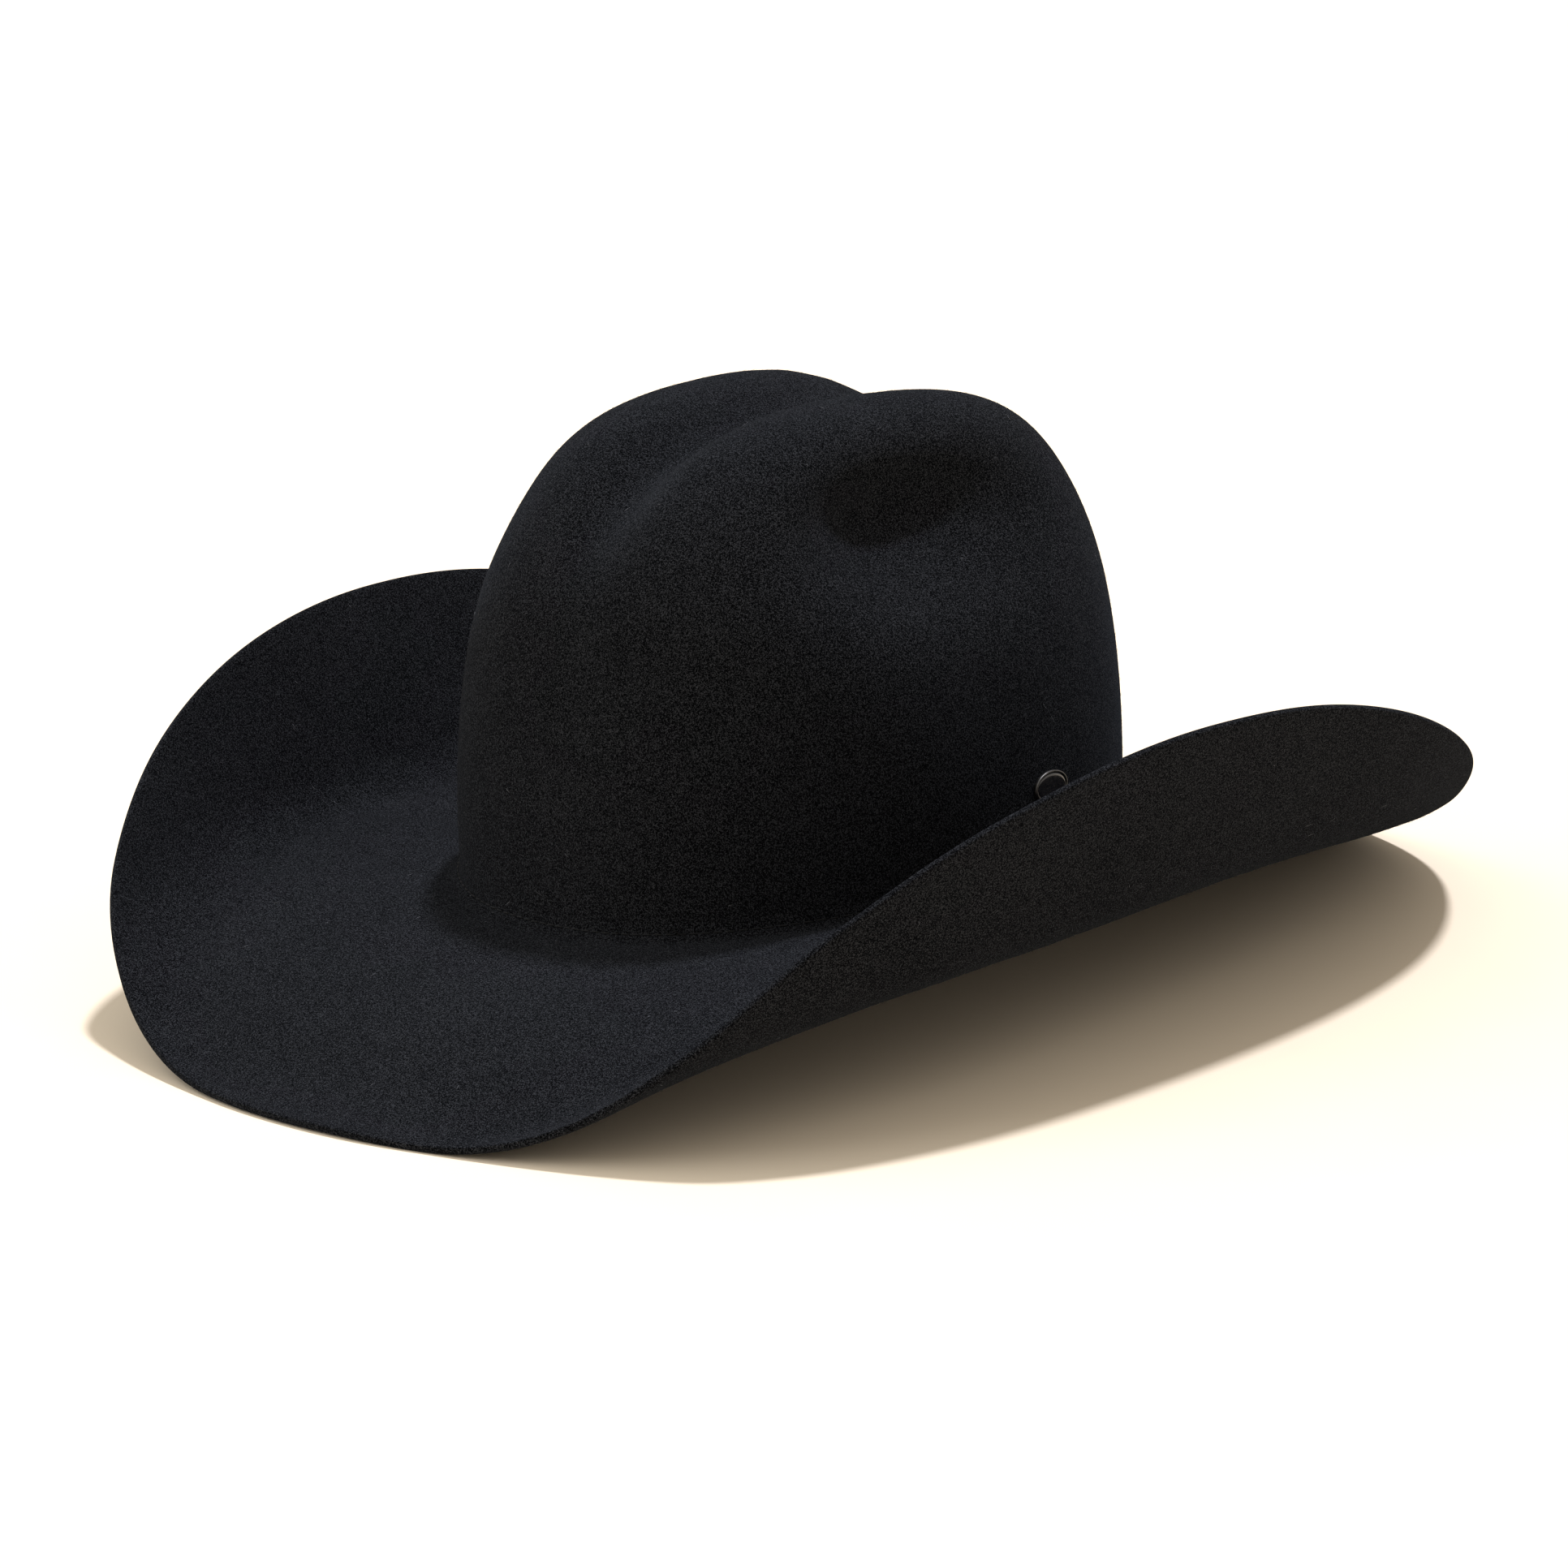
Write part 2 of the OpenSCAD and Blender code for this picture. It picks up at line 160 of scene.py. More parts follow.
def dip_share(v):
    """How far along the dip a place is, levelling off near the edge."""
    past = np.maximum(0, v - DIP_LEVEL)
    return (v - past * past / (2 * (1 - DIP_LEVEL))) / ((1 + DIP_LEVEL) / 2)


def rolled(x, y):
    """Where a point of the flat brim lands: the sides roll up, the front and back dip."""
    v = (y - BRIM_SHIFT) / BRIM_HALF_L
    far, ahead = np.abs(v), v < 0
    fade = far ** np.where(ahead, ROLL_FADE_FRONT, ROLL_FADE_BACK)
    start = ROLL_START + np.where(ahead, ROLL_SHIFT_FRONT, ROLL_SHIFT_BACK) * fade
    width = ROLL_W + np.where(ahead, ROLL_WIDEN_FRONT, ROLL_WIDEN_BACK) * fade
    width = np.maximum(ROLL_LEAST, width)
    turn = np.radians(ROLL_ANGLE * (1 + ROLL_LEAN * v - ROLL_LOSS * far**ROLL_LOSS_POWER))
    radius = width / turn
    past = np.maximum(0, np.abs(x) - start)
    bent = np.minimum(past, width)
    angle = turn * bent / width
    out = start + radius * np.sin(angle) + (past - bent) * np.cos(turn)
    out = np.where(past > 0, out, np.abs(x))
    up = radius * (1 - np.cos(angle)) + (past - bent) * np.sin(turn)
    dip = BRIM_DIP * dip_share(far) ** np.where(ahead, DIP_POWER_FRONT, DIP_POWER_BACK)
    return np.stack([np.sign(x) * out, y, up - dip], -1)


def crown(phi, t):
    """Outside of the crown: t is 0 at the brim and 1 at the very top."""
    across = np.maximum(0, np.cos(np.pi / 2 * t)) ** (2 / SHOULDER_ACROSS)
    rise = np.sin(np.pi / 2 * t) ** (2 / SHOULDER_UP)
    foot_x, foot_y = oval(phi, CROWN_HALF_W, CROWN_HALF_L, BASE_SQUARE)
    square = mix(BASE_SQUARE, TOP_SQUARE, rise)
    wall_x, wall_y = oval(phi, CROWN_HALF_W, CROWN_HALF_L, square)
    taper = np.where(np.sin(np.radians(phi)) < 0, TAPER_FRONT, TAPER_BACK)
    x = wall_x * across * (1 - CROWN_TAPER * rise)
    y = wall_y * across * (1 - taper * rise) + CROWN_LEAN * rise
    part = y / TILT_L
    z = CROWN_H * rise * (1 + (TOP_RISE * part + TOP_ROUND * part**2) * rise)
    x = x * (1 - FRONT_PINCH * smooth((PINCH_START - y) / PINCH_L) * rise**PINCH_RISE)
    length = np.where(y < DENT_Y, DENT_L_FRONT, DENT_L_BACK)
    dent = np.exp(-(((y - DENT_Y) / length) ** 2) - ((z - DENT_Z) / DENT_H) ** 2)
    x = x - np.sign(x) * dent * DENT_DEPTH * np.minimum(1, np.abs(x) / DENT_INNER)
    ahead = smooth((CREASE_MID - y) / CREASE_L)
    depth = mix(CREASE_BACK, CREASE_FRONT, ahead)
    spread = mix(CREASE_W_BACK, CREASE_W_FRONT, ahead)
    fold = np.exp(-((x / spread) ** 2)) * smooth((z / CROWN_H - CREASE_LOW) / CREASE_BLEND)
    landed = rolled(foot_x, foot_y)
    low = (1 - rise) ** 2
    x = x + (landed[..., 0] - foot_x) * low
    return np.stack([x, y, z - depth * fold + landed[..., 2] * low], -1)


def brim(phi, s):
    """Upper face of the brim: s is 0 at the crown and 1 at the edge."""
    foot_x, foot_y = oval(phi, CROWN_HALF_W, CROWN_HALF_L, BASE_SQUARE)
    square = np.where(np.sin(np.radians(phi)) < 0, BRIM_SQUARE_FRONT, BRIM_SQUARE_BACK)
    rim_x, rim_y = oval(phi, BRIM_HALF_W, BRIM_HALF_L, square)
    return rolled(mix(foot_x, rim_x, s), mix(foot_y, rim_y + BRIM_SHIFT, s))


BEND_T = math.degrees(math.asin((BREAK_R / CROWN_H) ** (SHOULDER_UP / 2))) / 90
BEND_S = BREAK_R / (BRIM_HALF_W - CROWN_HALF_W)
LOWEST = float(brim(np.array(90.0), np.array(1.0))[2]) - FELT_T


def outside(phi, v):
    """Outside of the hat: v is 0 at the top, 1 and 2 at the ends of the bend, 3 at the edge."""
    phi, v = np.broadcast_arrays(np.asarray(phi, float), np.asarray(v, float))
    down = np.clip(v, 0, 1) ** (SHOULDER_ACROSS / 2)
    wall = crown(phi, BEND_T + (1 - BEND_T) * (1 - down))
    flat = brim(phi, mix(BEND_S, 1, np.clip(v - 2, 0, None)))
    u = np.clip(v - 1, 0, 1)[..., None]
    a, b, c = crown(phi, BEND_T + 0 * v), brim(phi, 0 * v), brim(phi, BEND_S + 0 * v)
    bend = (1 - u) ** 2 * a + 2 * u * (1 - u) * b + u * u * c
    v = v[..., None]
    return np.where(v < 1, wall, np.where(v < 2, bend, flat))


PHI_STEP, V_STEP, V_LEAST = 0.5, 0.01, 0.001


def around_at(phi, v):
    """A short step round the hat's outside, in mm, at each place."""
    return outside(phi + PHI_STEP, v) - outside(phi - PHI_STEP, v)


def outward(phi, v):
    """Unit normal of the hat's outside."""
    low, high = np.minimum(3, v + V_STEP), np.maximum(V_LEAST, v - V_STEP)
    return unit(np.cross(outside(phi, low) - outside(phi, high), around_at(phi, v)))


def level(z):
    """The v at a height z above the brim, on the crown."""
    t = math.degrees(math.asin((z / CROWN_H) ** (SHOULDER_UP / 2))) / 90
    return (1 - max(0, t - BEND_T) / (1 - BEND_T)) ** (2 / SHOULDER_ACROSS)


def room(v):
    """Share of the room behind the lining: none at the bend and none in the top."""
    rise = smooth((v - level(ROOM_HIGH)) / (level(ROOM_EASE) - level(ROOM_HIGH)))
    return rise * smooth((ROOM_LOW - v) / (ROOM_LOW - level(ROOM_FULL)))


def layer(phi, v, d):
    """A place at depth d under the hat's outside, in the row frame, in mm."""
    phi, v, d = np.broadcast_arrays(*(np.asarray(a, float) for a in (phi, v, d)))
    deep = d + np.where(d > FELT_T, LINING_ROOM * room(v), 0)
    at = outside(phi, v) - outward(phi, v) * deep[..., None]
    return at - np.array([0, BRIM_SHIFT, LOWEST])


def axes(phi, v):
    """Directions round the hat, up it and out of it at one place."""
    out = outward(np.array(float(phi)), np.array(float(v)))
    along = unit(np.array([-out[1], out[0], 0.0]))
    return along, np.cross(out, along), out


def placed(points, phi, v, d):
    """Moves points (round, up, out) in mm to a place on the hat."""
    along, up, out = axes(phi, v)
    at = layer(float(phi), float(v), float(d))
    p = np.asarray(points, float)
    return at + p[..., :1] * along + p[..., 1:2] * up + p[..., 2:3] * out


# ---------------------------------------------------------------- mesh tools


def make(name, points, faces, body="hat", uv=None):
    """A smooth-shaded mesh object from points in mm, riding on a body."""
    mesh = bpy.data.meshes.new(name)
    mesh.from_pydata((np.asarray(points) * MM).tolist(), [], [list(map(int, f)) for f in faces])
    if uv is not None:
        flat = np.concatenate([np.asarray(u, float).reshape(-1, 2) for u in uv]) * MM
        mesh.uv_layers.new(name="lie").data.foreach_set("uv", flat.astype(np.float32).ravel())
    mesh.shade_smooth()
    obj = bpy.data.objects.new(name, mesh)
    bpy.context.scene.collection.objects.link(obj)
    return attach(obj, body)


def lengths(points):
    """Distance along a line of points, from its start."""
    return np.concatenate([[0], np.cumsum(np.linalg.norm(np.diff(points, axis=0), axis=1))])


def grid_quads(rows, cols, wrap):
    """Row, column and corners of each quad of a grid; wrap joins its last column to its first."""
    j, i = np.meshgrid(np.arange(rows - 1), np.arange(cols if wrap else cols - 1), indexing="ij")
    k = (i + 1) % cols
    quads = np.stack([j * cols + i, (j + 1) * cols + i, (j + 1) * cols + k, j * cols + k], -1)
    return j, i, quads.reshape(-1, 4)


def closed_sheet(name, top, under, wrap=False):
    """Closed sheet between two grids of points, rows going down and columns going round."""
    rows, cols, _ = top.shape
    half = rows * cols
    j, i, quads = grid_quads(rows, cols, wrap)
    line = np.vstack([top[rows // 2], top[rows // 2][:1]]) if wrap else top[rows // 2]
    u, v = lengths(line), lengths(top[:, 0])
    grid = np.stack([u[[i, i, i + 1, i + 1]].T, v[[j, j + 1, j + 1, j]].T], -1)
    grid = grid.transpose(1, 0, 2, 3).reshape(-1, 4, 2)
    first = np.arange(cols if wrap else cols - 1)
    second = (first + 1) % cols
    last = (rows - 1) * cols
    side = np.arange(rows - 1) * cols
    near, far = side + cols, side + cols - 1
    edges = [
        np.stack([first, second, second + half, first + half], -1),
        np.stack([last + first, last + first + half, last + second + half, last + second], -1),
    ]
    if not wrap:
        edges.append(np.stack([side, side + half, near + half, near], -1))
        edges.append(np.stack([far, far + cols, far + cols + half, far + half], -1))
    edges = np.concatenate(edges)
    points = np.concatenate([top.reshape(-1, 3), under.reshape(-1, 3)])
    faces = np.concatenate([quads, quads[:, ::-1] + half, edges])
    return make(name, points, faces, uv=[grid, grid[:, ::-1], np.zeros((len(edges), 4, 2))])


def dome_sheet(name, top, under):
    """Closed sheet over the top of the crown, rows going down from near the pole."""
    rows, cols, _ = top.shape
    half = rows * cols
    quads = grid_quads(rows, cols, True)[2]
    ring = np.arange(cols)
    turned = (ring + 1) % cols
    last = (rows - 1) * cols
    rim = np.stack([last + ring, last + ring + half, last + turned + half, last + turned], -1)
    caps = [[2 * half, a, b] for a, b in zip(ring, turned)]
    caps += [[2 * half + 1, half + b, half + a] for a, b in zip(ring, turned)]
    points = np.concatenate([top.reshape(-1, 3), under.reshape(-1, 3)])
    points = np.vstack([points, top[0].mean(0), under[0].mean(0)])
    uv = [points[np.asarray(f)][..., :2] for f in (quads, quads[:, ::-1], rim, caps)]
    return make(name, points, [*quads, *(quads[:, ::-1] + half), *rim, *caps], uv=uv)


def tube(path, radius, sides=8, closed=False):
    """Points and faces of a round tube along a path; radius is one number or one per point."""
    path = np.asarray(path, float)
    n = len(path)
    ahead = np.roll(path, -1, 0) - np.roll(path, 1, 0)
    if not closed:
        ahead[0], ahead[-1] = path[1] - path[0], path[-1] - path[-2]
    ahead = unit(ahead)
    side = np.cross(ahead[0], [0.0, 0.0, 1.0])
    if np.linalg.norm(side) < 1e-3:
        side = np.cross(ahead[0], [0.0, 1.0, 0.0])
    radius = np.broadcast_to(np.asarray(radius, float), (n,))
    angle = np.linspace(0, 2 * np.pi, sides, endpoint=False)
    rings = []
    for at, way, r in zip(path, ahead, radius):
        side = unit(side - way * (side @ way))
        up = np.cross(way, side)
        rings.append(at + r * (np.cos(angle)[:, None] * side + np.sin(angle)[:, None] * up))
    faces = []
    for j in range(n if closed else n - 1):
        for i in range(sides):
            k, m = (i + 1) % sides, (j + 1) % n
            faces.append([j * sides + i, j * sides + k, m * sides + k, m * sides + i])
    if not closed:
        faces.append(list(range(sides))[::-1])
        faces.append([(n - 1) * sides + i for i in range(sides)])
    return np.concatenate(rings), faces


def joined(parts):
    """Several (points, faces) as one."""
    points, faces, start = [], [], 0
    for p, f in parts:
        points.append(p)
        faces += [[i + start for i in face] for face in f]
        start += len(p)
    return np.concatenate(points), faces


def together(name, pieces):
    """Joins objects into the first of them, keeping their UV maps."""
    with bpy.context.temp_override(
        active_object=pieces[0], selected_editable_objects=pieces, selected_objects=pieces
    ):
        bpy.ops.object.join()
    pieces[0].name = pieces[0].data.name = name
    return pieces[0]


PEAK_OVER_RMS = 1.6


def waves(seed, low, high, count):
    """A smooth random function round the hat, from about -1 to 1, of low to high waves a turn."""
    pick = np.random.default_rng(seed)
    turns = pick.integers(low, high + 1, count)
    phase, size = pick.uniform(0, 2 * np.pi, count), pick.uniform(0.4, 1, count)
    size = size / np.sqrt((size**2).sum() / 2) / PEAK_OVER_RMS

    def height(phi):
        return sum(s * np.sin(np.radians(phi) * t + p) for s, t, p in zip(size, turns, phase))

    return height


# ---------------------------------------------------------------- the felt body

ROUND = np.linspace(0, 360, 360, endpoint=False)
TOP_V = 0.012  # the highest row of points, just off the pole of the crown
BRIM_LENGTH = 110.0
GROOVE_DEPTH, GROOVE_HALF_W = 0.45, 0.085
SWAY_SIZE, RIPPLE_SIZE, FINE_SIZE = 0.45, 0.16, 0.05
EDGE_R = 0.5 * FELT_T
EDGE_PINCH = 0.3
EDGE_ROWS = np.array([0.75, 0.5, 0.3, 0.15, 0.05])
POST_APART, POST_HOLE_R = 8.0, 0.9
HOLE_IN, HOLE_OUT = -9.0, 5.0
BADGE_MARGIN = 1
LOOSE_FROM, LOOSE_WIDTH = 2.1, 0.9
SCATTER_TRIES, SCATTER_FULL = 6, 0.97
FIBRE_GAP = 0.02
FIBRE_RINGS = ((0.0, 1.0), (0.5, 0.9), (1.0, 0.3))  # share of the length, and of the radius
FIBRE_ANGLES = (0, 2.1, 4.2)

sway = waves(SEED, 2, 7, 5)
ripple = waves(SEED + 1, 9, 26, 8)


def unevenness(phi, v):
    """How far the felt lies from the perfect form, in mm: more towards the brim's edge."""
    loose = smooth((v - LOOSE_FROM) / LOOSE_WIDTH)
    wide = SWAY_SIZE * sway(phi) + RIPPLE_SIZE * ripple(phi + 9 * v)
    return loose * wide + FINE_SIZE * ripple(phi - 40 * v)


def felt():
    """One blocked felt shell with a cut edge, and the seam's groove round the crown's foot."""
    rows = np.unique(np.concatenate([
        np.linspace(TOP_V, 0.985, 70) ** 0.9,
        np.linspace(1.0, 2.0, 22),
        np.linspace(2.0, 3.0, 34)[1:],
        3 - EDGE_R / BRIM_LENGTH * EDGE_ROWS,
    ]))
    phi, v = np.meshgrid(ROUND, rows)
    turned_in = np.clip((v - 3) * BRIM_LENGTH / EDGE_R + 1, 0, 1)
    pinch = EDGE_PINCH * FELT_T * (1 - np.sqrt(1 - turned_in**2))
    groove = GROOVE_DEPTH * np.exp(-(((v - STITCH_AT) / GROOVE_HALF_W) ** 2))
    off = unevenness(phi, v)
    top = layer(phi, v, pinch + groove - off)
    under = layer(phi, v, FELT_T - pinch - off)
    return dome_sheet("felt", top, under)


def pierced(obj):
    """Cuts the two holes that the badge's posts go through."""
    holes = []
    for x in (-POST_APART / 2, POST_APART / 2):
        line = placed([[x, 0, HOLE_IN], [x, 0, HOLE_OUT]], BADGE_PHI, level(BADGE_Z), 0)
        holes.append(tube(line, POST_HOLE_R, 20))
    cutter = make("cutter", *joined(holes))
    cut = obj.modifiers.new("holes", "BOOLEAN")
    cut.object, cut.operation, cut.solver = cutter, "DIFFERENCE", "EXACT"
    evaluated = obj.evaluated_get(bpy.context.evaluated_depsgraph_get())
    obj.data = bpy.data.meshes.new_from_object(evaluated)
    obj.modifiers.clear()
    bpy.data.objects.remove(cutter)
    return obj


def scattered(pick, count, low, high):
    """Random places (phi, v) spread evenly over the hat's outside between two v."""
    tries = SCATTER_TRIES * count
    phi, v = pick.uniform(0, 360, tries), pick.uniform(low, high, tries)
    down = outside(phi, v + V_STEP / 2) - outside(phi, v - V_STEP / 2)
    area = np.linalg.norm(around_at(phi, v), axis=-1) * np.linalg.norm(down, axis=-1)
    keep = pick.uniform(0, 1, tries) < area / np.quantile(area, SCATTER_FULL)
    return phi[keep][:count], v[keep][:count]


def fibres(name, seed, count, v_range, length, radius, lift, share_under=0.0):
    """Short curved fibres that lie over the felt, as closed three-sided threads."""
    pick = np.random.default_rng(seed)
    phi, v = scattered(pick, count, *v_range)
    badge_at = outside(np.array([float(BADGE_PHI)]), np.array([level(BADGE_Z)]))
    from_badge = np.linalg.norm(outside(phi, v) - badge_at, axis=-1)
    clear = from_badge > BADGE_L / 2 + BADGE_MARGIN
    phi, v = phi[clear], v[clear]
    count = len(phi)
    below = pick.uniform(0, 1, count) < share_under
    at = layer(phi, v, np.where(below, FELT_T, 0.0) - unevenness(phi, v))
    out = outward(phi, v) * np.where(below, -1, 1)[:, None]
    some = unit(np.cross(out, pick.normal(size=(count, 3))))
    turn = np.cross(out, some)
    size = pick.uniform(*length, count)[:, None]
    rise = pick.uniform(*lift, count)[:, None]
    bend = pick.uniform(-0.5, 0.5, count)[:, None]
    rings = []
    for share, thick in FIBRE_RINGS:
        high = FIBRE_GAP + rise * (0.8 if share == 1 else share) * size
        along = some * share * size + turn * bend * share**2 * size
        centre = at + along + out * high
        for angle in FIBRE_ANGLES:
            around = math.cos(angle) * turn + math.sin(angle) * out
            rings.append(centre + around * radius * thick)
    points = np.stack(rings, 1).reshape(-1, 3)
    one = [[0, 2, 1], [6, 7, 8]]
    for j in (0, 3):
        for i in range(3):
            one.append([j + i, j + (i + 1) % 3, j + 3 + (i + 1) % 3, j + 3 + i])
    step = len(FIBRE_RINGS) * len(FIBRE_ANGLES)
    faces = [[i + step * n for i in f] for n in range(count) for f in one]
    return make(name, points, faces)


# ---------------------------------------------------------------- stitching and thread

PITCH = math.pi * (CROWN_HALF_W + CROWN_HALF_L) / STITCH_COUNT
BAR_SHARE, BAR_SPREAD, BAR_DRIFT, BAR_ASIDE = 0.8, (0.94, 1.04), 0.06, 0.05
BAR_LIFT, BAR_BOW, LEG_DEPTH, LEG_FROM = 0.1, 0.16, 0.55, 0.7
KNOT_R, KNOT_TAIL_R = 0.2, 0.17
KNOT_SIZE, KNOT_AT = [0.17, 0.17, 0.24], [0, 0.6, 0.3]
KNOT_TAILS = ((4.4, -2.6, 1.2), (-1.6, 1.9, 0.5))  # each tail's reach, drop and curl


def stitching():
    """A running stitch round the crown's foot: each bar bows up out of its two holes."""
    pick = np.random.default_rng(SEED + 3)
    t = np.linspace(-1, 1, 9)
    leg = LEG_DEPTH * smooth((np.abs(t) - LEG_FROM) / 0.3)
    high = -GROOVE_DEPTH + BAR_LIFT + BAR_BOW * (1 - t**2) - leg
    parts = []
    for i in range(STITCH_COUNT):
        bar = PITCH * BAR_SHARE * pick.uniform(*BAR_SPREAD)
        slant = pick.uniform(-BAR_DRIFT, BAR_DRIFT)
        aside = slant * t + pick.uniform(-BAR_ASIDE, BAR_ASIDE)
        line = np.stack([t * bar / 2, aside, high], -1)
        phi = (i + 0.5) * 360 / STITCH_COUNT
        parts.append(tube(placed(line, phi, STITCH_AT, 0), STITCH_R, 8))
    return make("stitches", *joined(parts))


def knot():
    """The thread's tied end on the seam, with its two tails."""
    t = np.linspace(0, 2 * np.pi, 36, endpoint=False)
    trefoil = [np.sin(t) + 2 * np.sin(2 * t), np.cos(t) - 2 * np.cos(2 * t), -np.sin(3 * t)]
    lump = np.stack(trefoil, -1) * KNOT_SIZE + KNOT_AT
    parts = [tube(placed(lump, KNOT_PHI, STITCH_AT, 0), KNOT_R, 8, closed=True)]
    s = np.linspace(0, 1, 14)
    for reach, drop, curl in KNOT_TAILS:
        aside = KNOT_AT[1] + drop * s + curl * s * (1 - s)
        tail = np.stack([reach * s, aside, 0.32 + 0.25 * np.sin(3 * s)], -1)
        thick = KNOT_TAIL_R * (1 - 0.35 * s**3)
        parts.append(tube(placed(tail, KNOT_PHI, STITCH_AT, 0), thick, 8))
    return make("knot", *joined(parts))


# ---------------------------------------------------------------- inside the hat

SIDE_SLACK, TIP_SLACK = 1.1, 0.5
SLACK_START, SLACK_END = 0.31, 0.79  # from just outside the patch to just above the care label
SOFT_EDGE = 0.25

pleat = waves(SEED + 5, 6, 34, 12)
drape = waves(SEED + 6, 3, 11, 6)


def slack(phi, v):
    """How far the lining's satin hangs in from its form, in mm."""
    side = smooth((v - LINING_SEAM) / 0.1) * smooth((SLACK_END - v) / 0.12)
    tip = smooth((v - SLACK_START) / 0.08) * smooth((LINING_SEAM - v) / 0.06)
    fold = 0.5 + 0.5 * pleat(phi + 6 * v) + 0.35 * drape(phi - 14 * v)
    return np.clip(fold, 0, 1.6) * (SIDE_SLACK * side + TIP_SLACK * tip)


def lining_sheet(name, rows, dome=False):
    """One panel of the satin lining, hanging in its folds."""
    phi, v = np.meshgrid(ROUND, rows)
    fall = slack(phi, v)
    top = layer(phi, v, LINING_D + 0.1 + fall)
    under = layer(phi, v, LINING_IN + fall)
    return dome_sheet(name, top, under) if dome else closed_sheet(name, top, under, wrap=True)


def from_end(count):
    """Steps from the nearer end, for each of a row of places."""
    return np.minimum(np.arange(count), np.arange(count)[::-1])


def raised_patch(name, phis, rows, d0, d1, curl=0.0, dome=False):
    """A piece lying on the layers of the hat, with softened edges; curl lifts its low edge."""
    phi, v = np.meshgrid(phis, rows)
    down = np.arange(len(rows))[::-1] if dome else from_end(len(rows))
    soft = SOFT_EDGE * (d1 - d0) * (down[:, None] == 0)
    if not dome:
        soft = np.maximum(soft, SOFT_EDGE * (d1 - d0) * (from_end(len(phis))[None, :] == 0))
    share = np.linspace(0, 1, len(rows))[:, None] ** 2
    lean = curl * share * np.sin(np.linspace(0.4, 2.2, len(phis)))[None, :]
    top, under = layer(phi, v, d0 + soft + lean), layer(phi, v, d1 - soft + lean)
    return dome_sheet(name, top, under) if dome else closed_sheet(name, top, under)


def bead(name, v, d, r, ribs, sides):
    """A cord round the hat at one height; ribs give it a twisted look."""
    phi = np.linspace(0, 360, 720, endpoint=False)
    line = layer(phi, v, d)
    thick = r * (1 - 0.06 * (1 + np.sin(np.radians(phi) * ribs))) if ribs else r
    return make(name, *tube(line, thick, sides, closed=True))


# ---------------------------------------------------------------- the sweatband's bow

BOW_Z, BOW_OFF = 18, 2.4
RIBBON_T, WRAP_T = 0.22, 0.24
LOOP_ROOT, LOOP_REACH, LOOP_HIGH, LOOP_TILT = 1.2, 10.6, 0.72, 12
TAIL_ROOT, TAIL_REACH, TAIL_TILT = 1.0, 9.2, -40
TAIL_AT = [0, -2.2, -0.1]
WRAP_HALF = [2.45, 1.25]
WRAP_POWER = 0.75


def band(line, across, half_w, thick, columns=7, dish=0.0):
    """Grids of a ribbon that follows a line: top and under."""
    line, across = np.asarray(line, float), unit(np.asarray(across, float))
    ahead = unit(np.gradient(line, axis=0))
    out = unit(np.cross(ahead, across))
    w = np.linspace(-1, 1, columns)[None, :, None]
    half_w = np.broadcast_to(np.asarray(half_w, float), (len(line),))[:, None, None]
    middle = line[:, None] + across[:, None] * half_w * w + out[:, None] * dish * w**2
    return middle + out[:, None] * thick / 2, middle - out[:, None] * thick / 2


def bow_loop(side):
    """One of the bow's loops, on the side -1 or 1."""
    t = np.linspace(0, 1, 40)
    x = LOOP_ROOT + LOOP_REACH * np.sin(np.pi * t) ** 0.75
    spread = smooth((x - 1) / 5)
    z = LOOP_HIGH * np.cos(np.pi * t) * (0.35 + 0.65 * spread)
    tilt = math.radians(LOOP_TILT * side)
    line = np.stack([side * x * math.cos(tilt), side * x * math.sin(tilt), z], -1)
    across = np.tile([-math.sin(tilt), math.cos(tilt), 0.0], (len(t), 1))
    return band(line, across, 1.7 + 1.45 * spread, RIBBON_T, dish=0.12)


def bow_tail(side):
    """One of the bow's hanging tails, with a slight wave."""
    s = np.linspace(0, 1, 22)
    tilt = math.radians(TAIL_TILT * side)
    way = np.array([side * math.cos(tilt), side * math.sin(tilt), 0.0])
    over = np.array([-way[1], way[0], 0.0])
    line = way * (TAIL_ROOT + TAIL_REACH * s[:, None]) + TAIL_AT
    line[:, 2] += 0.3 * np.sin(5 * s) * s
    line = line + over * 0.5 * np.sin(3 * s)[:, None] * s[:, None]
    return band(line, np.tile(over, (len(s), 1)), 1.6 + 0.8 * smooth(s * 2), RIBBON_T)


def bow_wrap():
    """The ribbon wrapped round the bow's middle."""
    t = np.linspace(0, 2 * np.pi, 41)
    ring = np.stack([0 * t, WRAP_HALF[0] * np.cos(t), WRAP_HALF[1] * np.sin(t)], -1)
    squared = np.abs(ring[:, 1:] / WRAP_HALF) ** WRAP_POWER * WRAP_HALF
    ring[:, 1:] = np.sign(ring[:, 1:]) * squared
    return band(ring, np.tile([1.0, 0, 0], (len(t), 1)), 1.9, WRAP_T, dish=-0.15)


def bow():
    """Ribbon bow: two loops, two tails and the wrap round its middle, in one object."""
    parts = [half(side) for side in (-1, 1) for half in (bow_loop, bow_tail)]
    pieces = []
    for n, grids in enumerate([*parts, bow_wrap()]):
        top, under = (placed(grid, BOW_PHI, level(BOW_Z), INSIDE_D + BOW_OFF) for grid in grids)
        pieces.append(closed_sheet(f"bow_{n}", under, top))
    return together("bow", pieces)


# ---------------------------------------------------------------- the badge

